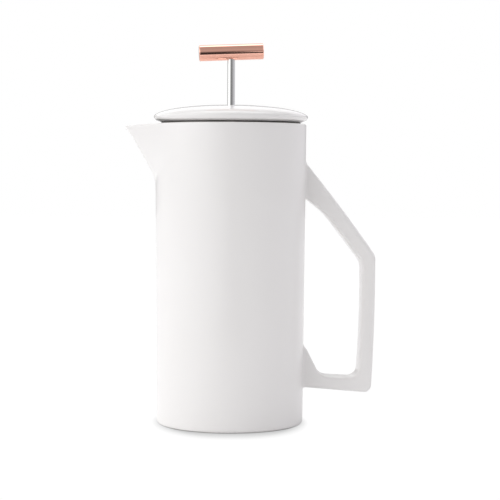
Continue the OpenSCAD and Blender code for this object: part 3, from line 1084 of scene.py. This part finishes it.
def make_table():
    """White table that glows white where the camera sees it, with a contact shadow painted into that glow
    from ambient occlusion. Other rays see a plain diffuse white.

    The camera stands in a notch of its front edge, and the knob mirrors the dark room below the notch."""
    xs = (-TABLE_HALF, -NOTCH_HALF, NOTCH_HALF, TABLE_HALF)
    verts = [(x, y, 0) for y in (-TABLE_HALF, NOTCH_Y, TABLE_HALF) for x in xs]
    faces = [(0, 1, 5, 4), (2, 3, 7, 6), (4, 5, 9, 8), (5, 6, 10, 9), (6, 7, 11, 10)]
    mesh = bpy.data.meshes.new("table")
    mesh.from_pydata(verts, [], faces)
    table = bpy.data.objects.new("table", mesh)
    bpy.context.scene.collection.objects.link(table)
    albedo = (TABLE_ALBEDO,) * 3
    s = Shade("white_table_painted_shadow", albedo, 0.9)
    # painted contact shadow: ambient occlusion, cut off outside an oval, darkens the glow that the camera
    # sees
    open_sky = s.node("AmbientOcclusion", {"samples": 32}, Distance=PAINTED_SHADOW_REACH).outputs["AO"]
    in_oval = s.stretched((1 / PAINTED_SHADOW_OVAL[0], 1 / PAINTED_SHADOW_OVAL[1], 1))
    oval = s.node("VectorMath", {"operation": "LENGTH"}, Vector=in_oval).outputs["Value"]
    near = s.ramp(oval, PAINTED_SHADOW_FADE, 1.0, 1.0, 0.0)
    painted_shadow = s.maths("MULTIPLY", s.ramp(open_sky, 0.0, 1.0, 1.0, 0.0), near)
    # the camera sees this glow with the painted shadow in it; other rays see the plain diffuse white
    painted_glow = s.node("Emission", Strength=s.ramp(painted_shadow, 0.0, 1.0, TABLE_SHOWN, 0.0)).outputs[0]
    lit = s.node("BsdfDiffuse", Color=(*albedo, 1)).outputs[0]
    mix = s.node("MixShader")
    for value, socket in zip((s.node("LightPath").outputs["Is Camera Ray"], lit, painted_glow), mix.inputs):
        s.tree.links.new(value, socket)
    s.tree.links.new(mix.outputs[0], s.tree.nodes["Material Output"].inputs["Surface"])
    mesh.materials.append(s.material)


# Brightness of the room round the object, by bearing from the front in degrees (right is positive)
ROOM = ((-180, 0.8), (-145, 0.8), (-115, 1.7), (-80, 2.3), (-52, 2.45), (-38, 1.95), (-22, 1.0), (-6, 0.54),
        (20, 0.56), (52, 0.64), (88, 1.1), (110, 1.5), (138, 0.7), (180, 0.7))
ROOM_PEAK = 2.5
# The share of it at a height, from the horizon (0) to overhead (1)
SIDES = ((0.0, 0.62), (0.08, 0.66), (0.2, 1.0), (1.0, 1.0))
# Brightness behind the object at such a height
BEHIND = ((0.0, 0.4), (0.15, 0.4), (0.24, 1.25), (0.48, 1.25), (0.62, 0.7), (0.78, 0.8), (0.86, 2.2),
          (0.985, 2.7), (1.0, 1.4))
BEHIND_PEAK = 3.0
BEHIND_SIDES = 0.74                 # the least brightness behind, to either side of straight behind
CEILING = 0.48                      # brightness straight above
DARK_LOW, DARK_HIGH = 0.04, 0.45    # the dark stretch behind the camera, at its foot and its top
DARK_BEARING = math.radians(-4)     # the middle of that stretch
DARK_HALF = math.radians(6.5)
UNDER = 0.05                        # brightness below the horizon
COOL = (0.975, 0.96, 1.0, 1)        # tint of the light from the right


class World:
    """Short ways to add world nodes."""

    def __init__(self):
        world = bpy.data.worlds.new("studio")
        bpy.context.scene.world = world
        world.use_nodes = True
        self.tree = world.node_tree
        self.tree.nodes.clear()

    def node(self, kind, *inputs, **settings):
        made = self.tree.nodes.new("ShaderNode" + kind)
        for key, value in settings.items():
            setattr(made, key, value)
        for socket, value in zip(made.inputs, inputs):
            if isinstance(value, bpy.types.NodeSocket):
                self.tree.links.new(value, socket)
            else:
                socket.default_value = value
        return made

    def fade(self, value, low, high):
        """0 below low, 1 above high and smooth between."""
        fitted = self.node("MapRange", value, interpolation_type="SMOOTHSTEP")
        fitted.inputs["From Min"].default_value = low
        fitted.inputs["From Max"].default_value = high
        return fitted.outputs["Result"]

    def graph(self, value, points, peak):
        """Brightness along points of (value from 0 to 1, brightness), none of them brighter than peak."""
        ramp = self.node("ValToRGB", value)
        stops = ramp.color_ramp.elements
        while len(stops) < len(points):
            stops.new(0.5)
        for stop, (place, level) in zip(stops, points):
            stop.position = place
            stop.color = (level / peak, level / peak, level / peak, 1)
        ramp.color_ramp.interpolation = "EASE"
        return self.node("Math", ramp.outputs["Color"], peak, operation="MULTIPLY").outputs[0]

    def blend(self, factor, a, b):
        """From a to b as the factor goes from 0 to 1."""
        kept = self.node("Math", 1.0, factor, operation="SUBTRACT").outputs[0]
        part_a = self.node("Math", a, kept, operation="MULTIPLY").outputs[0]
        return self.node("Math", b, factor, part_a, operation="MULTIPLY_ADD").outputs[0]


def make_world():
    """A room that is bright at the front left, less so at the right, and dark behind the camera.

    Behind the object its brightness goes by height. The camera itself sees plain white."""
    w = World()
    way = w.node("TexCoord").outputs["Generated"]
    split = w.node("SeparateXYZ", way)
    x, y, z = split.outputs
    back = w.node("Math", y, -1.0, operation="MULTIPLY").outputs[0]
    bearing = w.node("Math", x, back, operation="ARCTAN2").outputs[0]
    turn = w.node("Math", bearing, 1 / TURN, 0.5, operation="MULTIPLY_ADD").outputs[0]
    round_room = w.graph(turn, [(degrees / 360 + 0.5, level) for degrees, level in ROOM], ROOM_PEAK)
    walls = w.node("Math", round_room, w.graph(z, SIDES, 1.0), operation="MULTIPLY").outputs[0]
    off_middle = w.node("Math", bearing, DARK_BEARING, operation="SUBTRACT").outputs[0]
    aside = w.fade(w.node("Math", off_middle, operation="ABSOLUTE").outputs[0], DARK_HALF, 2 * DARK_HALF)
    dark = w.blend(w.fade(z, -0.05, 0.3), DARK_LOW, DARK_HIGH)
    walls = w.blend(w.fade(z, 0.2, 0.5), w.blend(aside, dark, walls), walls)
    walls = w.blend(w.fade(z, 0.5, 0.85), walls, CEILING)
    sideways = w.fade(w.node("Math", x, operation="ABSOLUTE").outputs[0], 0.3, 0.6)
    least = w.node("Math", sideways, BEHIND_SIDES, operation="MULTIPLY").outputs[0]
    behind = w.node("Math", w.graph(z, BEHIND, BEHIND_PEAK), least, operation="MAXIMUM").outputs[0]
    walls = w.blend(w.fade(y, 0.0, 0.15), walls, behind)
    room = w.blend(w.fade(z, -0.08, 0.02), UNDER, walls)
    tint = w.node("MixRGB", w.fade(x, -0.1, 0.8), (1, 1, 1, 1), COOL).outputs[0]
    lit = w.node("Background", tint, room)
    seen = w.node("Background", (1, 1, 1, 1), 1.0)
    direct = w.node("LightPath").outputs["Is Camera Ray"]
    mix = w.node("MixShader", direct, lit.outputs[0], seen.outputs[0])
    w.node("OutputWorld", mix.outputs[0])


def make_studio():
    make_camera()
    make_table()
    make_world()
    bpy.context.scene.view_settings.view_transform = "Standard"


make_studio()
make_pot()
make_handle()
make_seal()
make_dome()
make_lid_fittings()
make_filter()
make_rod()
add_nut("lock_nut", "plunger", ROD_R + 0.02 * MM)
make_knob()
